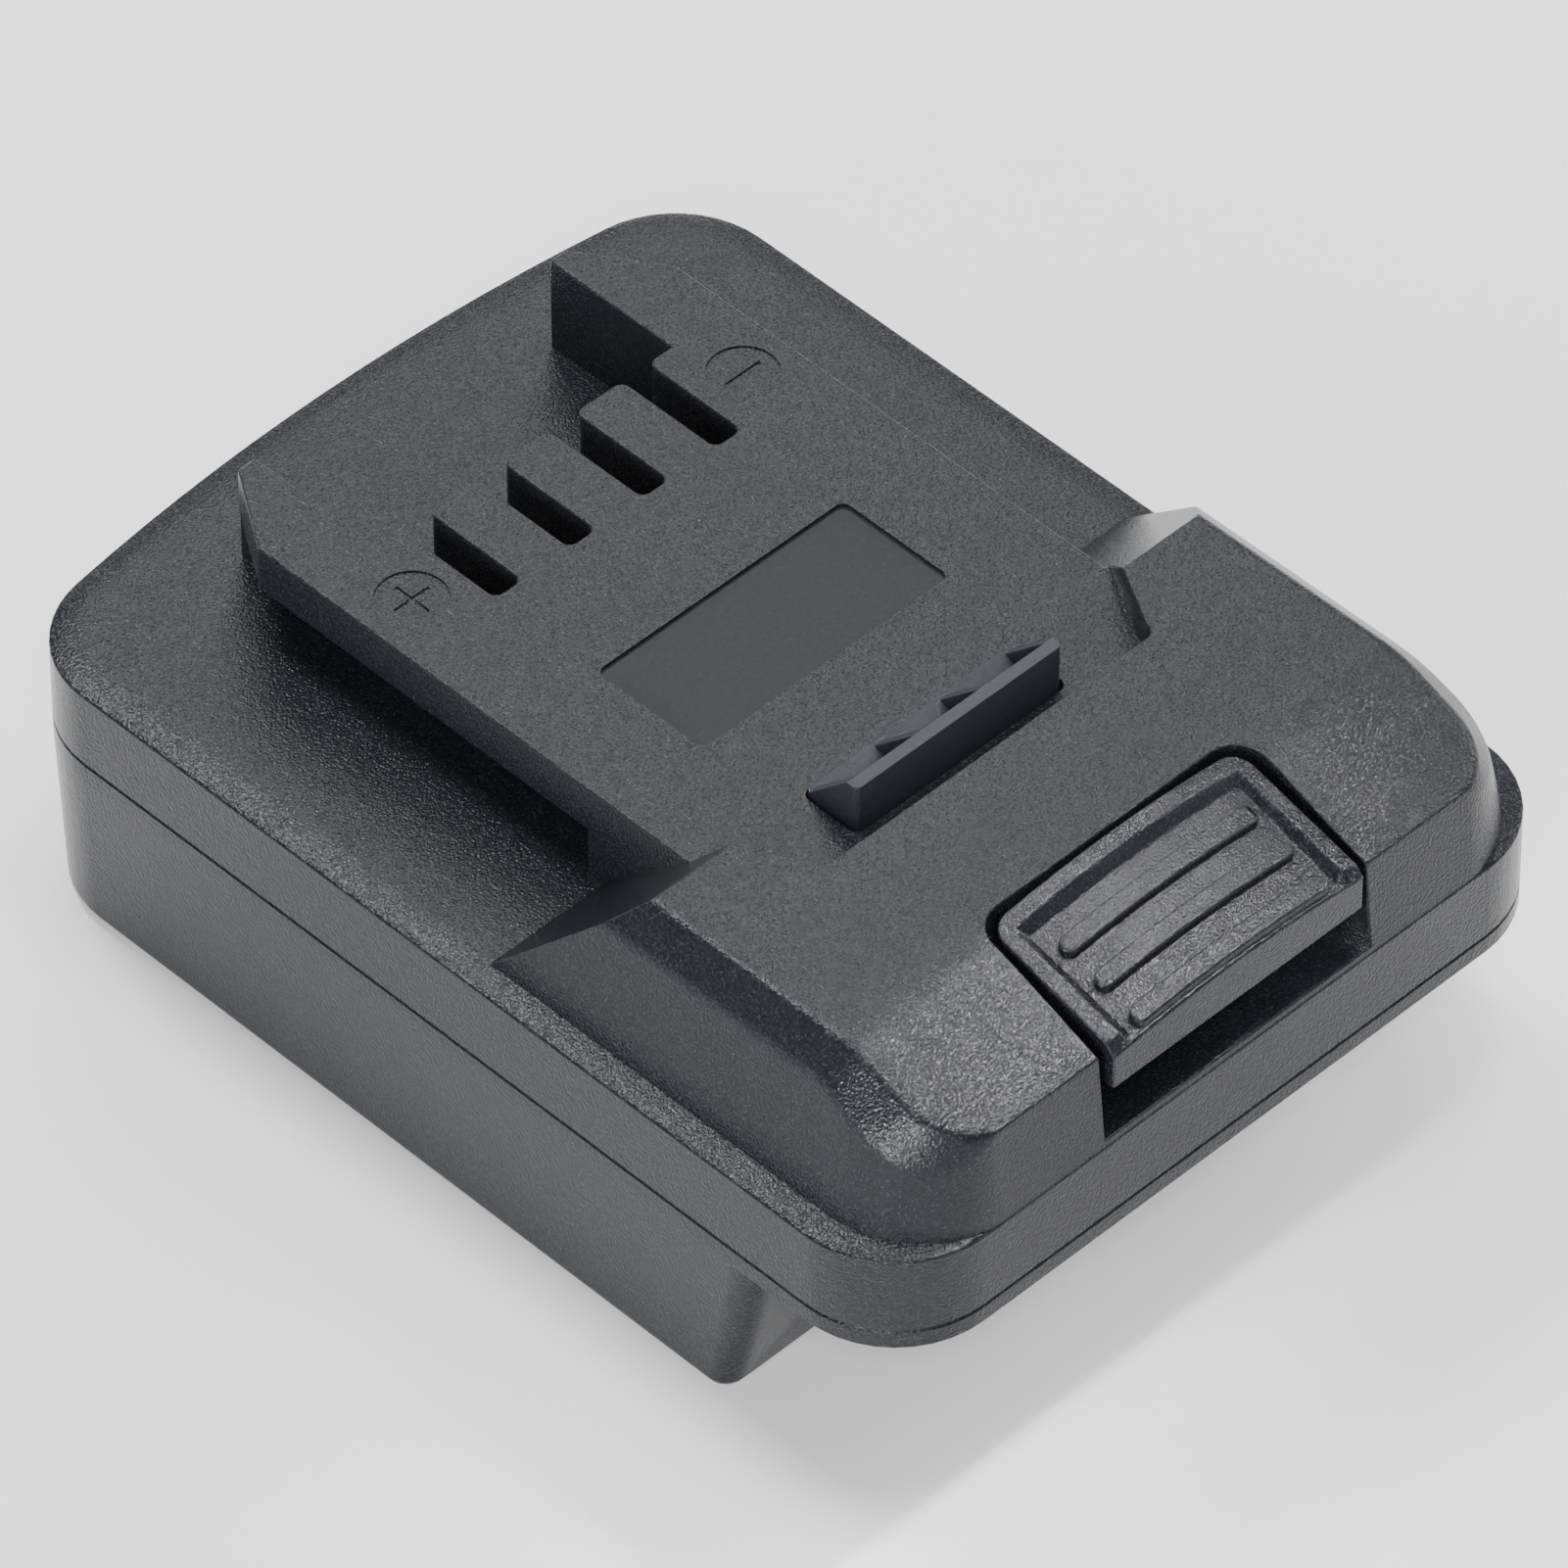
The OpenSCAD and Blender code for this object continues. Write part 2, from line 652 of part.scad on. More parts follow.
module housing_cuts() {
    block([-bay_w / 2, y_front - 1, bay_rail_t], [bay_w / 2, y_bay_end, z_flange]);
    block([-bay_neck / 2, y_front - 1, -1], [bay_neck / 2, y_bay_end, bay_rail_t + overlap]);
    block([-catch_half, y_catch, z_flange - 1],
        [catch_half, y_catch + catch_l, z_part + catch_h - wall / 2]);
    block([-rear_core_half, y_bay_end + wall, core_floor], [rear_core_half, y_rear - 2 * wall, z_part + 1]);
    for (sx = [-1, 1]) {
        translate([sx * (core_in + core_out) / 2, 0, core_floor]) linear_extrude(z_part)
            translate([-(core_out - core_in) / 2, y_mouth + wall])
                square([core_out - core_in, y_bay_end - y_mouth - 2 * wall]);
        translate([sx * front_boss[0], front_boss[1], 0]) screw_passage(z_front_head, z_front_seat);
        translate([sx * rear_boss[0], rear_boss[1], -1]) screw_passage(z_rear_head + 1, z_part + 1);
        translate([sx * terminal_screw[0], terminal_screw[1], z_flange - 1])
            cylinder(h = flange_t + 2, d = small_hole_d + head_room);
    }
    for (x = [-blade_x, 0, blade_x])
        block([x - blade_t / 2 - tail_room, y_tail - tail_room, z_flange - 1],
            [x + blade_t / 2 + tail_room, y_tail + tail_l + tail_room, z_part + 1]);
}

// Counterbore for a screw head from below and the clearance hole above it
module screw_passage(z_head, z_end) {
    cylinder(h = z_head, d = head_d + 2 * head_room);
    cylinder(h = z_end + 1, d = screw_d + head_room);
}

module lower_housing() {
    color(black_plastic) difference() {
        housing_solid();
        housing_cuts();
    }
}

// Release latch: guide plate, tongue with ribs, button with grip ribs, spring posts
plate_t = 3;
z_latch = z_roof - run_gap - plate_t;
plate_inset = 6;
y_plate = y_button_front + plate_inset;
tongue_half = tongue_w / 2;
rib_x = [tongue_half - rib_t, tongue_half - rib_t - (tongue_w - rib_t) / 3];
z_rim = z_deck + tongue_rise;
z_lip = z_plate + travel + lip_room;
grip_front = 1.15;
grip_sink = 0.05;
z_skirt = z_plate - lip_room;
skirt_t = 1.6;
crown_n = 12;
button_sink = 0.3;
rim_r = opening_r - button_gap;
rim_end = 0.8;
rim_n = 6;
slope_turn = 160;
slope_steps = [0, 0.2, 0.4, 0.6, 0.8, 1, 1.1];
floor_rise = 0.4;
floor_fall = 0.28;
rib_foot_h = 0.2;
rib_foot_inset = 0.2;

// Top of the button: it falls to the front and is crowned across
z_button = crest_z(y_button) - button_sink;
function button_top(x, y) =
    z_button - (y_button - y) * button_fall + button_crown * (1 - pow(x / button_half, 2));

// Ring of the button's crowned section at y, with its top lowered by drop
function crown_slab(y, drop) =
    concat([[-button_half, y, z_lip], [button_half, y, z_lip]],
        [for (i = [crown_n:-1:-crown_n]) let (x = button_half * i / crown_n) [x, y, button_top(x, y) - drop]]);

module crown_part(drop) {
    intersection() {
        loft([crown_slab(y_button + 1, drop), crown_slab(y_front - 1, drop)]);
        children();
    }
}

// Line along the rim, inset from the button's edge, from one front end round the rear to the other
function rim_line(inset) =
    let (r = max(rim_r - inset, least_r), x = button_half - inset, c = [x - r, y_button - inset - r])
    concat([[x, y_button_front], [x, y_button_front + rim_end]],
        arc(c, r, r, 0, 90, rim_n, 0, rim_n),
        [for (i = [1:crown_n - 1]) [c[0] * (1 - 2 * i / crown_n), y_button - inset]],
        arc([-c[0], c[1]], r, r, 90, 180, rim_n, 0, rim_n),
        [[-x, y_button_front + rim_end], [-x, y_button_front]]);

// Drop of the slope inside the rim, at a share of its width
function slope_drop(share) = panel_depth * (1 - cos(slope_turn * share)) / (1 - cos(slope_turn));

// Raised rim, open to the front, where its ends come down to the panel
module button_frame() {
    lines = concat([rim_line(0)], [for (s = slope_steps) rim_line(button_rim + panel_slope * s)]);
    drops = concat([0], [for (s = slope_steps) slope_drop(s)]);
    n = len(lines[0]);
    last = len(lines) - 1;
    loft([for (i = [n - 1:-1:0]) let (end_drop = i == 0 || i == n - 1 ? panel_depth : 0)
        concat([[lines[0][i][0], lines[0][i][1], z_lip]],
            [for (k = [0:last]) let (p = lines[k][i])
                [p[0], p[1], button_top(p[0], p[1]) - drops[k] - end_drop]],
            [[lines[last][i][0], lines[last][i][1], z_lip]])]);
}

module button_cap() {
    panel_half = button_half - button_rim;
    button_frame();
    crown_part(panel_depth)
        block([-panel_half, y_button_front, z_lip], [panel_half, y_button - button_rim, z_top]);
    for (i = [0:grip_count - 1]) {
        y = y_button_front + grip_front + i * grip_pitch;
        crown_part(grip_sink)
            rounded_box(grip_l / 2, y - grip_w / 2, y + grip_w / 2, z_lip, z_top, grip_w / 2 - overlap);
    }
}

// Latch tongue: upright rim, a floor behind it that rises to the rear, and ribs between them
module tongue() {
    z0 = z_latch + plate_t - overlap;
    y1 = y_tongue + tongue_l;
    y_rib = y1 - rib_foot_inset;
    intersection() {
        rounded_box(tongue_half, y_tongue, y1, z0, z_rim, tongue_r);
        cross_prism([[y_tongue, z0], [y1, z0], [y1, z_deck + floor_rise],
            [y_tongue, z_deck + floor_rise - floor_fall * tongue_l]], -tongue_half, tongue_half);
    }
    rounded_box(tongue_half, y_tongue, y_tongue + rim_t, z0, z_rim, tongue_r);
    both_sides() for (x = rib_x)
        cross_prism([[y_rib, z0], [y_rib, z_deck + rib_foot_h], [y_tongue + rim_t, z_rim],
            [y_tongue + rim_t / 2, z_rim], [y_tongue + rim_t / 2, z0]], x, x + rib_t);
}

module release_latch() {
    color(black_plastic) {
        block([-latch_half, y_plate, z_latch], [latch_half, y_plate_end, z_latch + plate_t]);
        block([-button_half, y_cavity + run_gap, z_skirt],
            [button_half, y_cavity + run_gap + skirt_t, z_lip + overlap]);
        button_cap();
        tongue();
        for (sx = [-1, 1]) translate([sx * spring_x, y_spring, z_latch - post_h + overlap])
            cylinder(h = post_h, d = spring_post_d);
    }
}

// Swept tubes
function unit(v) = v / norm(v);
function tangent(p, i) = unit(p[min(i + 1, len(p) - 1)] - p[max(i - 1, 0)]);
function tube_ring(c, t, r, side, n) =
    let (s = unit(cross(side, t)), u = cross(t, s))
    [for (k = [0:n - 1]) c + r * (cos(360 * k / n) * s + sin(360 * k / n) * u)];

// Smooth route through hand-placed points
function spline_point(a, b, c, d, t) =
    0.5 * (2 * b + (c - a) * t + (2 * a - 5 * b + 4 * c - d) * t * t + (3 * b - a - 3 * c + d) * t * t * t);
function route(p, steps) =
    let (last = len(p) - 1)
    concat([for (i = [0:last - 1], k = [0:steps - 1])
        spline_point(p[max(i - 1, 0)], p[i], p[i + 1], p[min(i + 2, last)], k / steps)], [p[last]]);

module tube(path, d, side, n) {
    loft([for (i = [0:len(path) - 1]) tube_ring(path[i], tangent(path, i), d / 2, side, n)]);
}

// Latch springs between the posts of the housing and of the latch
spring_steps = 10;
spring_gap = 0.03;

module latch_spring(x) {
    r = (spring_d - spring_wire) / 2;
    z0 = z_part + spring_wire / 2 + spring_gap;
    rise = z_latch - z_part - spring_wire - 2 * spring_gap;
    count = spring_turns * spring_steps;
    path = [for (i = [0:count]) let (a = 360 * i / spring_steps)
        [x + r * cos(a), y_spring + r * sin(a), z0 + rise * i / count]];
    color(steel) tube(path, spring_wire, [0, 0, 1], 6);
}

module latch_spring_left() { latch_spring(-spring_x); }
module latch_spring_right() { latch_spring(spring_x); }

// Output side: holder under the slots and four female clips that stand in them
holder_floor = 0.8;
z_clip = z_part + holder_floor;
clip_half = 1.1;
clip_pinch = 0.25;
clip_sink = 0.6;
clip_straight = 6;
clip_flare = 2.2;
clip_top = z_groove - clip_sink;
clip_inset = 1.2;
y_clip = y_slot + clip_inset;
tab_h = 3.5;
holder_side = 4.3;
holder_half = slot_half_span + holder_side;
holder_lap = 1.2;
y_holder = y_slot - holder_lap;
y_holder_end = y_finger + holder_lap;
tab_out = 0.8;
tunnel_half = 1.1;
tunnel_h = 2.6;

module clip_profile() {
    bend = z_clip + clip_straight;
    pinch = clip_top - clip_flare;
    wide = clip_half;
    polygon([[-wide, z_clip], [wide, z_clip], [wide, bend], [clip_pinch + clip_t, pinch],
        [wide, clip_top], [wide - clip_t, clip_top], [clip_pinch, pinch],
        [wide - clip_t, bend], [wide - clip_t, z_clip + clip_t],
        [-wide + clip_t, z_clip + clip_t], [-wide + clip_t, bend], [-clip_pinch, pinch],
        [-wide + clip_t, clip_top], [-wide, clip_top], [-clip_pinch - clip_t, pinch], [-wide, bend]]);
}

// Clip in slot i, with its solder tab behind the holder (rear) or before it
module output_clip(i, rear) {
    y_tab = rear ? y_holder_end + tab_out : y_holder - tab_out - clip_t;
    y_base = rear ? [y_clip, y_tab + clip_t] : [y_tab, y_clip + clip_l];
    color(brass) translate([slot_x(i), 0, 0]) {
        translate([0, y_clip + clip_l, 0]) rotate([90, 0, 0]) linear_extrude(clip_l) clip_profile();
        block([-clip_half, y_base[0], z_clip], [clip_half, y_base[1], z_clip + clip_t]);
        block([-clip_half, y_tab, z_clip], [clip_half, y_tab + clip_t, z_clip + tab_h]);
    }
}

module output_clip_positive() { output_clip(0, true); }
module output_clip_sense() { output_clip(1, false); }
module output_clip_data() { output_clip(2, false); }
module output_clip_negative() { output_clip(3, true); }

module output_terminal_holder() {
    pocket = clip_half + fit;
    color(dark_plastic) difference() {
        block([-holder_half, y_holder, z_part], [holder_half, y_holder_end, z_ceiling]);
        for (i = [0:slot_count - 1]) {
            rear = i == 0 || i == slot_count - 1;
            y0 = rear ? y_clip - fit : y_holder - 1;
            y1 = rear ? y_holder_end + 1 : y_clip + clip_l + fit;
            block([slot_x(i) - pocket, y0, z_clip], [slot_x(i) + pocket, y1, z_ceiling + 1]);
        }
        block([-tunnel_half, y_holder - 1, z_part - 1], [tunnel_half, y_holder_end + 1, z_part + tunnel_h]);
        for (sx = [-1, 1]) translate([sx * slot_pitch, y_peg, z_part - 1])
            cylinder(h = peg_h + 1 + tip_room, d = peg_d + 2 * fit);
    }
}

// Input side: terminal block at the end of the bay and its three blades
input_side = 6;
input_half = blade_x + input_side;
input_l = 13;
input_lift = 0.6;
y_input = y_bay_end - input_l;
z_input = bay_rail_t + input_lift;
z_blade = z_input + (z_flange - z_input - blade_h) / 2;
tail_l = 2;
tail_rise = 3.4;
tail_back = 1.4;
y_tail = y_bay_end - tail_back - tail_l;
signal_blade_h = 3;
terminal_screw_inset = 4;
terminal_screw = [blade_x / 2, y_bay_end - terminal_screw_inset];

// Profile of a blade with its tail, grown by gap on every side
function blade_profile(h, gap) =
    let (z0 = z_blade + (blade_h - h) / 2)
    [[y_input - blade_l - gap, z0 - gap], [y_tail + tail_l + gap, z0 - gap],
     [y_tail + tail_l + gap, z_part + tail_rise + gap], [y_tail - gap, z_part + tail_rise + gap],
     [y_tail - gap, z0 + h + gap], [y_input - blade_l - gap, z0 + h + gap]];

module input_blade(x, h) {
    color(brass) cross_prism(blade_profile(h, 0), x - blade_t / 2, x + blade_t / 2);
}

module input_blade_positive() { input_blade(-blade_x, blade_h); }
module input_blade_negative() { input_blade(blade_x, blade_h); }
module input_blade_signal() { input_blade(0, signal_blade_h); }

module input_terminal_block() {
    color(dark_plastic) difference() {
        block([-input_half, y_input, z_input], [input_half, y_bay_end, z_flange]);
        for (b = [[-blade_x, blade_h], [0, signal_blade_h], [blade_x, blade_h]])
            cross_prism(blade_profile(b[1], fit), b[0] - blade_t / 2 - fit, b[0] + blade_t / 2 + fit);
        for (sx = [-1, 1])
            translate([sx * terminal_screw[0], terminal_screw[1], z_part - block_screw_l - tip_room])
                cylinder(h = block_screw_l + 1, d = small_hole_d);
    }
}

// Signal board under the deck, with its chips
module signal_board() {
    color(board_green) difference() {
        block([-board_w / 2, y_board, z_board], [board_w / 2, y_board_end, z_board + board_t]);
        for (sx = [-1, 1]) translate([sx * board_screw[0], board_screw[1], z_board - 1])
            cylinder(h = board_t + 2, d = small_hole_d + 2 * fit);
    }
}

chip = [3.2, 1.6, 0.7];
chip_places = [[-5, 3], [0, 3], [5, 3], [-3, 7]];
large_chip = [3, 2.6, 1.1];
large_chip_place = [2, 6];

module board_chips() {
    color(dark_plastic) {
        for (p = chip_places) translate([p[0] - chip[0] / 2, y_board + p[1], z_board - chip[2]]) cube(chip);
        translate([large_chip_place[0], y_board + large_chip_place[1], z_board - large_chip[2]])
            cube(large_chip);
    }
}

// Leads from the blades and clips, with their ends on the tabs
lead_z = z_part + 2.2;
tab_face = y_holder_end + tab_out + clip_t;
tail_face = y_tail + tail_l;
front_tab_face = y_holder - tab_out - clip_t;
joint_back = 2.5;

module power_lead(sx) {
    p = [[slot_half_span, tab_face, lead_z], [slot_half_span, tab_face + 0.7, lead_z],
        [slot_half_span, tab_face + 1.4, lead_z], [slot_half_span + 4.6, tab_face + 4.6, lead_z + 0.6],
        [blade_x + 6.5, tail_face, lead_z + 0.8],
        [blade_x + 7.2, tail_face + 3.6, lead_z + 0.8], [blade_x + 3.6, tail_face + 6, lead_z + 0.4],
        [blade_x, tail_face + 3, lead_z], [blade_x, tail_face + 1.4, lead_z], [blade_x, tail_face, lead_z]];
    mirrored = [for (q = p) [sx * q[0], q[1], q[2]]];
    tube(route(mirrored, 4), power_lead_d, [0, 0, 1], 10);
}

module positive_lead() { color([0.70, 0.10, 0.10]) power_lead(-1); }
module negative_lead() { color([0.10, 0.10, 0.11]) power_lead(1); }

// Thin lead that leaves a face at y0 and climbs to the board's underside
module signal_lead(x, y0, z0, y_end) {
    turn = z_board - 5;
    p = [[x, y0, z0], [x, y0 - 0.6, z0], [x, y0 - 1.2, z0], [x, (y0 + y_end) / 2, z0 + 1.3],
        [x, y_end + 0.4, turn - 1], [x, y_end, turn + 2], [x, y_end, z_board - 1], [x, y_end, z_board]];
    tube(route(p, 3), signal_lead_d, [1, 0, 0], 8);
}

module sense_lead() {
    color([0.85, 0.75, 0.15]) signal_lead(slot_x(1), front_tab_face, lead_z, y_board_end - joint_back);
}

module data_lead() {
    color([0.80, 0.80, 0.82]) signal_lead(slot_x(2), front_tab_face, lead_z, y_board_end - joint_back);
}

module input_signal_lead() {
    z0 = z_part + 1.4;
    y_end = y_board_end - 2 * joint_back;
    p = [[0, y_tail, z0], [0, y_tail - 2, z0], [0, y_holder_end, z0], [0, y_holder, z0],
        [0, y_holder - 2, z0], [0, y_end + 3.4, z0 + 1.6], [0, y_end + 0.4, z_board - 5],
        [0, y_end, z_board - 2], [0, y_end, z_board - 1], [0, y_end, z_board]];
    color([0.20, 0.35, 0.75]) tube(route(p, 3), signal_lead_d, [1, 0, 0], 8);
}

// Pan head screw pointing up, with a cross recess, its seat at z = 0
module screw(d, l, cap_d, cap_h) {
    cross_l = cap_d * 0.6;
    cross_w = cap_d * 0.14;
    cross_h = cap_h * 0.6;
    cylinder(h = l, d = d);
    difference() {
        translate([0, 0, -cap_h]) cylinder(h = cap_h, d = cap_d);
        for (a = [0, 90]) rotate([0, 0, a])
            translate([-cross_l / 2, -cross_w / 2, -cap_h - 1]) cube([cross_l, cross_w, cross_h + 1]);
    }
}

module housing_screws() {
    color(steel) for (sx = [-1, 1]) {
        translate([sx * front_boss[0], front_boss[1], z_front_head])
            screw(screw_d, screw_l, head_d, head_h);
        translate([sx * rear_boss[0], rear_boss[1], z_rear_head])
            screw(screw_d, screw_l, head_d, head_h);
    }
}

small_head_d = 4.4;
small_head_h = 1.4;

module terminal_screws() {
    color(steel) for (sx = [-1, 1]) translate([sx * terminal_screw[0], terminal_screw[1], z_part])
        rotate([180, 0, 0]) screw(small_screw_d, block_screw_l, small_head_d, small_head_h);
}

module board_screws() {
    color(steel) for (sx = [-1, 1]) translate([sx * board_screw[0], board_screw[1], z_board])
        screw(small_screw_d, board_t + standoff, small_head_d, small_head_h);
}

upper_cover();
lower_housing();
release_latch();
latch_spring_left();
latch_spring_right();
output_terminal_holder();
output_clip_positive();
output_clip_sense();
output_clip_data();
output_clip_negative();
input_terminal_block();
input_blade_positive();
input_blade_negative();
input_blade_signal();
signal_board();
board_chips();
positive_lead();
negative_lead();
sense_lead();
data_lead();
input_signal_lead();
housing_screws();
terminal_screws();
board_screws();
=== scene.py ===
import math

import bmesh
import bpy
from mathutils import Matrix, Vector


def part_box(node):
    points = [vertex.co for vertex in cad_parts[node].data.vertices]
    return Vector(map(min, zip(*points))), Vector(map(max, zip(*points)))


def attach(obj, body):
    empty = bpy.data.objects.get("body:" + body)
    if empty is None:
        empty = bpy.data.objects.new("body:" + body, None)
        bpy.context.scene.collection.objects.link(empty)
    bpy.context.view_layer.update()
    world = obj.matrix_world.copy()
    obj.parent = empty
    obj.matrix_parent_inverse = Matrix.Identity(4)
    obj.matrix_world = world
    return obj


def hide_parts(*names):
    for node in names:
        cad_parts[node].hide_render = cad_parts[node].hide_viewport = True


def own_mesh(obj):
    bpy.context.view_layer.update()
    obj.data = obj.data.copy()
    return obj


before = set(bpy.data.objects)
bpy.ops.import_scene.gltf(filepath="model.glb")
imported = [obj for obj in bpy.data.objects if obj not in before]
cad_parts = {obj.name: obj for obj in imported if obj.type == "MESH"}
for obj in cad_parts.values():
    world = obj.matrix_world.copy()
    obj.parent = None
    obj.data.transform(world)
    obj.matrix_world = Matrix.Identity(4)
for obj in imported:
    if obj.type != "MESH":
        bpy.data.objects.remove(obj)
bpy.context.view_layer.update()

MM = 0.001
WELD = 0.01 * MM
FLAT = math.radians(1.0)
SHARP = math.radians(29.0)

# Heights and places of the mouldings, in millimetres
Z_PART = 18.9
Z_CEILING = 25.3
Z_DECK = 36.85
NEAR = 0.1
SEAM_ROOM = 0.4

# Polarity marks and label field on the deck: middle x and y, half width and half length
MARK_DEPTH = 0.3
MARK_PLACES = ((-18.4, 22.1, 3.4, 3.4), (18.4, 22.1, 3.4, 3.4), (0.0, -0.1, 14.0, 6.3))
LABEL_HALF = (14, 8)

# Latch tongue: half width, front and rear ends, and how far it is sought below the deck
TONGUE_HALF = 11.4
TONGUE_Y = (-21.0, -15.3)
TONGUE_BELOW = 2

# Rounding of outer edges
SHELL_ROUND = 0.2
COVER_ROUND = 0.18
TONGUE_ROUND = 0.06
TONGUE_HOLE_ROUND = 0.04
ROUND_STEPS = 3

# Latch springs: wire width, turns, steps of a turn, sides of the wire
SPRING_WIRE = 0.6
SPRING_TURNS = 6
SPRING_STEPS = 28
SPRING_SIDES = 12


def link(obj):
    bpy.context.scene.collection.objects.link(obj)
    return obj


# Shapes

def clean_mesh(node):
    """The node's triangles as welded flat faces."""
    bm = bmesh.new()
    bm.from_mesh(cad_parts[node].data)
    bmesh.ops.remove_doubles(bm, verts=bm.verts, dist=WELD)
    bmesh.ops.dissolve_degenerate(bm, edges=bm.edges, dist=WELD)
    bmesh.ops.dissolve_limit(bm, angle_limit=FLAT, verts=bm.verts, edges=bm.edges)
    bm.normal_update()
    return bm


def mark_edges(bm, width, width_of):
    """Gives convex edges their rounding as a share of width, and keeps the other corners sharp."""
    weight = bm.edges.layers.float.new("bevel_weight_edge")
    for edge in bm.edges:
        if len(edge.link_faces) != 2:
            continue
        angle = edge.calc_face_angle_signed(0.0)
        middle = (edge.verts[0].co + edge.verts[1].co) / (2 * MM)
        wanted = width_of(middle) if angle > SHARP else 0.0
        edge[weight] = wanted / width
        edge.smooth = wanted > 0 or abs(angle) < SHARP


def placed(piece, node, body):
    """Sets a piece in its node's place, on the node's body."""
    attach(piece, body)
    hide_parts(node)
    return piece


def piece_of(bm, name, materials):
    mesh = bpy.data.meshes.new(name)
    bm.to_mesh(mesh)
    bm.free()
    for material in materials:
        mesh.materials.append(material)
    return link(bpy.data.objects.new(name, mesh))


def moulded(node, body, materials, width, width_of=None, material_of=None):
    """A copy of a CAD node with its outer edges rounded, in place of that node."""
    bm = clean_mesh(node)
    mark_edges(bm, width, width_of or (lambda middle: width))
    for face in bm.faces:
        face.smooth = True
        if material_of is not None:
            face.material_index = material_of(face.calc_center_bounds() / MM, face.normal)
    piece = piece_of(bm, node + "_moulded", materials)
    bevel = piece.modifiers.new("rounding", "BEVEL")
    bevel.width = width * MM
    bevel.segments = ROUND_STEPS
    bevel.limit_method = "WEIGHT"
    bevel.use_clamp_overlap = False
    bevel.miter_outer = "MITER_ARC"
    normals = piece.modifiers.new("flat_faces", "WEIGHTED_NORMAL")
    normals.mode = "FACE_AREA"
    normals.weight = 50
    normals.keep_sharp = True
    return placed(piece, node, body)


def drawn(node, body, material):
    """A lead's round insulation: the node's facets joined to quads and smoothed."""
    bm = bmesh.new()
    bm.from_mesh(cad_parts[node].data)
    bmesh.ops.remove_doubles(bm, verts=bm.verts, dist=WELD)
    bmesh.ops.join_triangles(
        bm, faces=bm.faces, angle_face_threshold=math.pi, angle_shape_threshold=math.pi)
    for face in bm.faces:
        face.smooth = True
    piece = piece_of(bm, node + "_drawn", (material,))
    smooth = piece.modifiers.new("round", "SUBSURF")
    smooth.levels = 1
    smooth.render_levels = 1
    return placed(piece, node, body)


def coil(node, material):
    """A spring of round wire in its node's place."""
    low, high = (Vector(corner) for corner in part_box(node))
    wire = SPRING_WIRE * MM / 2
    reach = (high.x - low.x) / 2 - wire
    middle = (low + high) / 2
    count = SPRING_TURNS * SPRING_STEPS
    bm = bmesh.new()
    rings = []
    for i in range(count + 1):
        turn = 2 * math.pi * i / SPRING_STEPS
        outward = Vector((math.cos(turn), math.sin(turn), 0))
        height = low.z + wire + (high.z - low.z - 2 * wire) * i / count
        centre = Vector((middle.x, middle.y, height)) + outward * reach
        ring = []
        for k in range(SPRING_SIDES):
            angle = 2 * math.pi * k / SPRING_SIDES
            around = outward * math.cos(angle) + Vector((0, 0, math.sin(angle)))
            ring.append(bm.verts.new(centre + wire * around))
        rings.append(ring)
    for a, b in zip(rings, rings[1:]):
        for k in range(SPRING_SIDES):
            n = (k + 1) % SPRING_SIDES
            bm.faces.new((a[k], a[n], b[n], b[k])).smooth = True
    bm.faces.new(rings[0])
    bm.faces.new(rings[-1])
    bmesh.ops.recalc_face_normals(bm, faces=bm.faces)
    piece = placed(piece_of(bm, node + "_coil", (material,)), node, "housing")
    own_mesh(piece)
    return piece


# Shader parts

def new_material(name):
    material = bpy.data.materials.new(name)
    material.use_nodes = True
    tree = material.node_tree
    return material, tree, tree.nodes["Principled BSDF"]


def place_of(tree, stretch=(1, 1, 1)):
    """The surface's own place in space, stretched along its axes."""
    place = tree.nodes.new("ShaderNodeTexCoord")
    mapping = tree.nodes.new("ShaderNodeMapping")
    mapping.inputs["Scale"].default_value = stretch
    tree.links.new(place.outputs["Object"], mapping.inputs["Vector"])
    return mapping.outputs["Vector"]


def noise(tree, size, detail, rough=0.5, stretch=(1, 1, 1)):
    """Noise with features of about size millimetres."""
    node = tree.nodes.new("ShaderNodeTexNoise")
    node.inputs["Scale"].default_value = 1 / (size * MM)
    node.inputs["Detail"].default_value = detail
    node.inputs["Roughness"].default_value = rough
    tree.links.new(place_of(tree, stretch), node.inputs["Vector"])
    return node.outputs["Fac"]


def grains(tree, size):
    """A random value for each grain of about size millimetres."""
    node = tree.nodes.new("ShaderNodeTexVoronoi")
    node.inputs["Scale"].default_value = 1 / (size * MM)
    tree.links.new(place_of(tree), node.inputs["Vector"])
    split = tree.nodes.new("ShaderNodeSeparateColor")
    tree.links.new(node.outputs["Color"], split.inputs["Color"])
    return split.outputs["Red"]


def ramp(tree, value, stops):
    node = tree.nodes.new("ShaderNodeValToRGB")
    elements = node.color_ramp.elements
    for i, (place, colour) in enumerate(stops):
        element = elements[i] if i < 2 else elements.new(place)
        element.position = place
        element.color = (*colour, 1.0)
    tree.links.new(value, node.inputs["Fac"])
    return node.outputs["Color"]


def spread(tree, value, low, high):
    node = tree.nodes.new("ShaderNodeMapRange")
    node.inputs["To Min"].default_value = low
    node.inputs["To Max"].default_value = high
    tree.links.new(value, node.inputs["Value"])
    return node.outputs["Result"]


def add(tree, a, b):
    node = tree.nodes.new("ShaderNodeMath")
    node.operation = "ADD"
    tree.links.new(a, node.inputs[0])
    tree.links.new(b, node.inputs[1])
    return node.outputs["Value"]


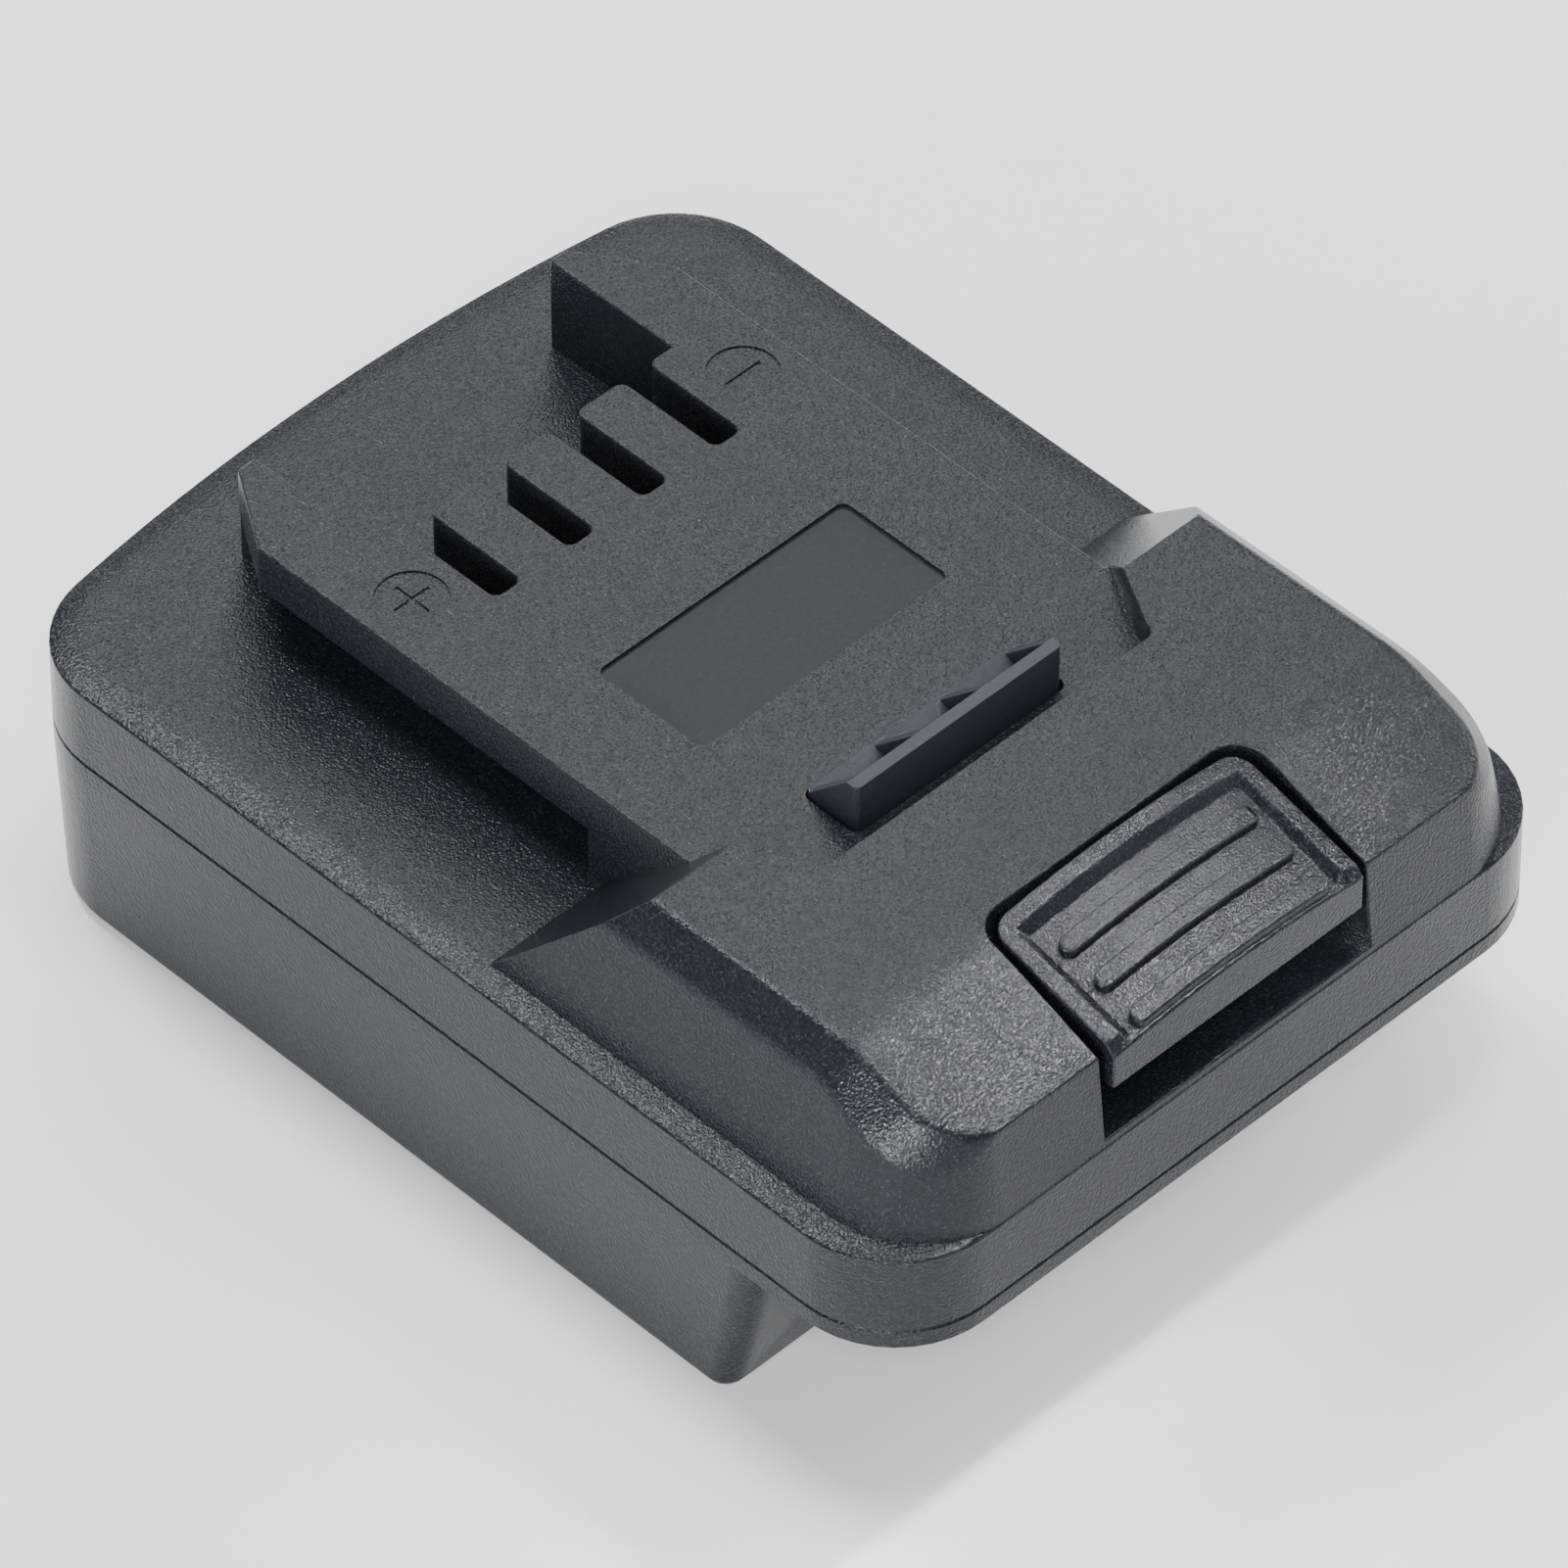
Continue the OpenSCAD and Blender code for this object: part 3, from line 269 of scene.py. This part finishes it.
def bump(tree, height, depth, strength, under=None):
    node = tree.nodes.new("ShaderNodeBump")
    node.inputs["Strength"].default_value = strength
    node.inputs["Distance"].default_value = depth * MM
    tree.links.new(height, node.inputs["Height"])
    if under is not None:
        tree.links.new(under, node.inputs["Normal"])
    return node.outputs["Normal"]


# Materials

def plastic(name, dark, light, painted_glint, grain, depth, rough, shine):
    """Spark-eroded moulded plastic: fine raised grain, a slight mottle, and painted glints on a few
    bright grains.
    """
    material, tree, shader = new_material(name)
    fine = noise(tree, grain, 1)
    broad = noise(tree, 9, 3)
    cells = grains(tree, grain * 0.7)
    tone = add(tree, spread(tree, fine, 0.0, 0.6), spread(tree, cells, 0.0, 0.4))
    # The ramp's brightest stop is a painted glint: the brightest grains are painted light as if they
    # caught the lamps.
    colour = ramp(tree, tone, [(0.25, dark), (0.62, light), (0.78, painted_glint)])
    tree.links.new(colour, shader.inputs["Base Color"])
    tree.links.new(spread(tree, broad, rough - 0.04, rough + 0.04), shader.inputs["Roughness"])
    slow = bump(tree, broad, 0.02, 0.2)
    tree.links.new(bump(tree, fine, depth, 1.0, slow), shader.inputs["Normal"])
    shader.inputs["Specular IOR Level"].default_value = shine
    return material


def metal(name, dark, light, stretch, rough, depth):
    """Drawn or stamped metal: fine lines along one direction and a cloudy tarnish."""
    material, tree, shader = new_material(name)
    lines = noise(tree, 0.12, 4, 0.6, stretch)
    clouds = noise(tree, 3, 4, 0.6)
    tone = add(tree, spread(tree, lines, 0.0, 0.4), spread(tree, clouds, 0.0, 0.6))
    tree.links.new(ramp(tree, tone, [(0.3, dark), (0.65, light)]), shader.inputs["Base Color"])
    tree.links.new(spread(tree, clouds, rough + 0.1, rough - 0.1), shader.inputs["Roughness"])
    tree.links.new(bump(tree, lines, depth, 0.6), shader.inputs["Normal"])
    shader.inputs["Metallic"].default_value = 1.0
    return material


def insulation(name, dark, light):
    """Extruded soft insulation: even colour with a slight cloud, dull shine and fine ripples."""
    material, tree, shader = new_material(name)
    clouds = noise(tree, 2.5, 3)
    fine = noise(tree, 0.15, 3, 0.6)
    tree.links.new(ramp(tree, clouds, [(0.3, dark), (0.7, light)]), shader.inputs["Base Color"])
    tree.links.new(spread(tree, fine, 0.32, 0.48), shader.inputs["Roughness"])
    tree.links.new(bump(tree, fine, 0.01, 0.5), shader.inputs["Normal"])
    return material


def board_resist(name):
    """Green solder resist: copper tracks show as lighter bands, over a fine woven ground."""
    material, tree, shader = new_material(name)
    tracks = tree.nodes.new("ShaderNodeTexWave")
    tracks.inputs["Scale"].default_value = 1 / (6 * MM)
    tracks.inputs["Distortion"].default_value = 3.0
    tracks.inputs["Detail Scale"].default_value = 0.4
    tree.links.new(place_of(tree), tracks.inputs["Vector"])
    weave = noise(tree, 0.3, 2)
    tone = add(tree, spread(tree, tracks.outputs["Fac"], 0.0, 0.8), spread(tree, weave, 0.0, 0.2))
    green = [(0.55, (0.010, 0.075, 0.030)), (0.62, (0.025, 0.150, 0.060))]
    tree.links.new(ramp(tree, tone, green), shader.inputs["Base Color"])
    tree.links.new(spread(tree, weave, 0.22, 0.34), shader.inputs["Roughness"])
    tree.links.new(bump(tree, tone, 0.02, 0.6), shader.inputs["Normal"])
    return material


# Each plastic's third colour is its painted glint, given to its brightest grains.
BLACK = plastic(
    "black_plastic", (0.0062, 0.0068, 0.0090), (0.0110, 0.0118, 0.0148), (0.026, 0.027, 0.032),
    grain=0.24, depth=0.085, rough=0.21, shine=0.20)
LABEL = plastic(
    "label_plastic", (0.0090, 0.0098, 0.0124), (0.0105, 0.0113, 0.0143), (0.014, 0.015, 0.018),
    grain=0.4, depth=0.040, rough=0.40, shine=0.16)
TONGUE = plastic(
    "tongue_plastic", (0.0200, 0.0217, 0.0275), (0.0225, 0.0243, 0.0307), (0.027, 0.029, 0.036),
    grain=0.4, depth=0.040, rough=0.36, shine=0.20)
HOLDER = plastic(
    "terminal_plastic", (0.012, 0.012, 0.013), (0.018, 0.018, 0.019), (0.03, 0.03, 0.03),
    grain=0.25, depth=0.02, rough=0.45, shine=0.4)
CHIP = plastic(
    "chip_plastic", (0.010, 0.010, 0.011), (0.020, 0.020, 0.021), (0.04, 0.04, 0.04),
    grain=0.1, depth=0.01, rough=0.5, shine=0.4)
BRASS = metal("contact_brass", (0.42, 0.26, 0.09), (0.68, 0.48, 0.20), (1, 1, 12), 0.32, 0.006)
# The clips' brass is painted near black with the painted shade of the deep slots that hold them.
CLIP = metal("slot_shaded_brass", (0.030, 0.026, 0.022), (0.070, 0.058, 0.046), (1, 1, 12), 0.44, 0.006)
WIRE = metal("spring_steel", (0.32, 0.32, 0.33), (0.52, 0.52, 0.54), (1, 1, 3), 0.34, 0.006)
ZINC = metal("screw_steel", (0.38, 0.38, 0.40), (0.60, 0.60, 0.61), (1, 1, 1), 0.36, 0.008)
RESIST = board_resist("circuit_board")
RED = insulation("red_insulation", (0.36, 0.016, 0.016), (0.48, 0.030, 0.026))
DARK = insulation("black_insulation", (0.014, 0.014, 0.015), (0.024, 0.024, 0.026))
YELLOW = insulation("yellow_insulation", (0.60, 0.40, 0.030), (0.74, 0.52, 0.060))
WHITE = insulation("white_insulation", (0.64, 0.64, 0.61), (0.76, 0.76, 0.74))
BLUE = insulation("blue_insulation", (0.030, 0.090, 0.40), (0.055, 0.130, 0.52))


# Mouldings

def in_mark(middle):
    if abs(middle.z - Z_DECK) > MARK_DEPTH + NEAR:
        return False
    return any(abs(middle.x - x) < w and abs(middle.y - y) < l for x, y, w, l in MARK_PLACES)


def at_tongue(middle, room):
    along = TONGUE_Y[0] - room < middle.y < TONGUE_Y[1] + room
    return along and abs(middle.x) < TONGUE_HALF + room and middle.z > Z_DECK - TONGUE_BELOW


def cover_width(middle):
    if abs(middle.z - Z_PART) < SEAM_ROOM or middle.z < Z_CEILING + NEAR or in_mark(middle):
        return 0.0
    tongue_hole = at_tongue(middle, 0.6) and middle.z < Z_DECK + NEAR
    return TONGUE_HOLE_ROUND if tongue_hole else COVER_ROUND


def cover_material(middle, normal):
    sunk = abs(middle.z - (Z_DECK - MARK_DEPTH)) < 0.05
    label = sunk and abs(middle.x) < LABEL_HALF[0] and abs(middle.y) < LABEL_HALF[1]
    return 1 if label and normal.z > 0.9 else 0


def housing_width(middle):
    return 0.0 if abs(middle.z - Z_PART) < SEAM_ROOM else SHELL_ROUND


def latch_width(middle):
    return TONGUE_ROUND if at_tongue(middle, NEAR) else SHELL_ROUND


def latch_material(middle, normal):
    return 1 if at_tongue(middle, NEAR) else 0


moulded("upper_cover", "housing", (BLACK, LABEL), SHELL_ROUND, cover_width, cover_material)
moulded("lower_housing", "housing", (BLACK,), SHELL_ROUND, housing_width)
moulded("release_latch", "latch", (BLACK, TONGUE), SHELL_ROUND, latch_width, latch_material)

# Pieces inside
for side in ("left", "right"):
    coil("latch_spring_" + side, WIRE)
for name in ("output_terminal_holder", "input_terminal_block"):
    moulded(name, "housing", (HOLDER,), 0.25)
for name in ("positive", "sense", "data", "negative"):
    moulded("output_clip_" + name, "housing", (CLIP,), 0.08)
for name in ("positive", "negative", "signal"):
    moulded("input_blade_" + name, "housing", (BRASS,), 0.15)
for name in ("housing_screws", "terminal_screws", "board_screws"):
    moulded(name, "housing", (ZINC,), 0.12)
moulded("signal_board", "housing", (RESIST,), 0.08)
moulded("board_chips", "housing", (CHIP,), 0.08)
LEADS = (
    ("positive_lead", "red", RED),
    ("negative_lead", "black", DARK),
    ("sense_lead", "yellow", YELLOW),
    ("data_lead", "white", WHITE),
    ("input_signal_lead", "blue", BLUE),
)
for name, colour, material in LEADS:
    drawn(name, "housing", material)

# Camera at the photograph's place
back = Vector((-0.49088, -0.50013, 0.71338)).normalized()
right = Vector((0.71275, -0.70142, -0.00131))
right = (right - back * right.dot(back)).normalized()
upward = back.cross(right)
lens = bpy.data.cameras.new("camera")
lens.lens = 331.2
lens.sensor_width = 36
camera = link(bpy.data.objects.new("camera", lens))
turn = Matrix((right, upward, back)).transposed().to_4x4()
camera.matrix_world = Matrix.Translation((-0.56683, -0.57878, 0.84330)) @ turn
bpy.context.scene.camera = camera


def area_light(name, place, aim, size, beam, power):
    data = bpy.data.lights.new(name, "AREA")
    data.shape = "DISK"
    data.size = size
    data.spread = math.radians(beam)
    data.energy = power
    light = link(bpy.data.objects.new(name, data))
    place = Vector(place)
    turn = (Vector(aim) - place).to_track_quat("-Z", "Y").to_matrix().to_4x4()
    light.matrix_world = Matrix.Translation(place) @ turn


# Softboxes: name, place, aim and width in metres, beam in degrees, power in watts
MIDDLE = (0, 0, 0.02)
LIGHTS = (
    ("rear_right", (0.59, 0.60, 0.85), MIDDLE, 0.70, 180, 6.2),
    ("overhead", (0.10, -0.05, 1.00), MIDDLE, 0.30, 180, 5.0),
    ("front_top", (0.28, -0.064, 0.56), (-0.012, -0.052, 0.039), 0.06, 7, 0.0110),
    ("right", (0.77, -0.20, 0.48), MIDDLE, 0.45, 180, 4.6),
    ("rear_top", (0.00, 0.45, 0.77), MIDDLE, 0.25, 180, 5.6),
    ("camera_side", (-0.74, -0.75, 1.07), MIDDLE, 0.35, 180, 10.0),
    ("left_low", (-0.90, -0.30, 0.30), MIDDLE, 0.50, 180, 8.0),
    ("corner", (-0.60, -0.23, 0.22), (-0.033, -0.047, 0.034), 0.08, 8, 0.010),
)
for light in LIGHTS:
    area_light(*light)

# White surroundings, bright near the horizon and dim overhead
HORIZON_LIGHT = 2.0
ZENITH_LIGHT = 0.05
world = bpy.data.worlds.new("studio")
world.use_nodes = True
sky = world.node_tree
heading = sky.nodes.new("ShaderNodeTexCoord")
axes = sky.nodes.new("ShaderNodeSeparateXYZ")
height = sky.nodes.new("ShaderNodeMapRange")
height.interpolation_type = "SMOOTHSTEP"
height.inputs["From Max"].default_value = 0.45
height.inputs["To Min"].default_value = HORIZON_LIGHT
height.inputs["To Max"].default_value = ZENITH_LIGHT
sky.links.new(heading.outputs["Generated"], axes.inputs["Vector"])
sky.links.new(axes.outputs["Z"], height.inputs["Value"])
sky.links.new(height.outputs["Result"], sky.nodes["Background"].inputs["Strength"])
sky.nodes["Background"].inputs["Color"].default_value = (0.95, 0.97, 1.0, 1.0)
bpy.context.scene.world = world

# Pale floor
bpy.ops.mesh.primitive_plane_add(size=12, location=(0, 0, -0.05 * MM))
floor = bpy.context.object
floor.name = "floor"
pale, _, pale_shader = new_material("pale_floor")
pale_shader.inputs["Base Color"].default_value = (0.95, 0.95, 0.95, 1.0)
pale_shader.inputs["Roughness"].default_value = 0.9
floor.data.materials.append(pale)
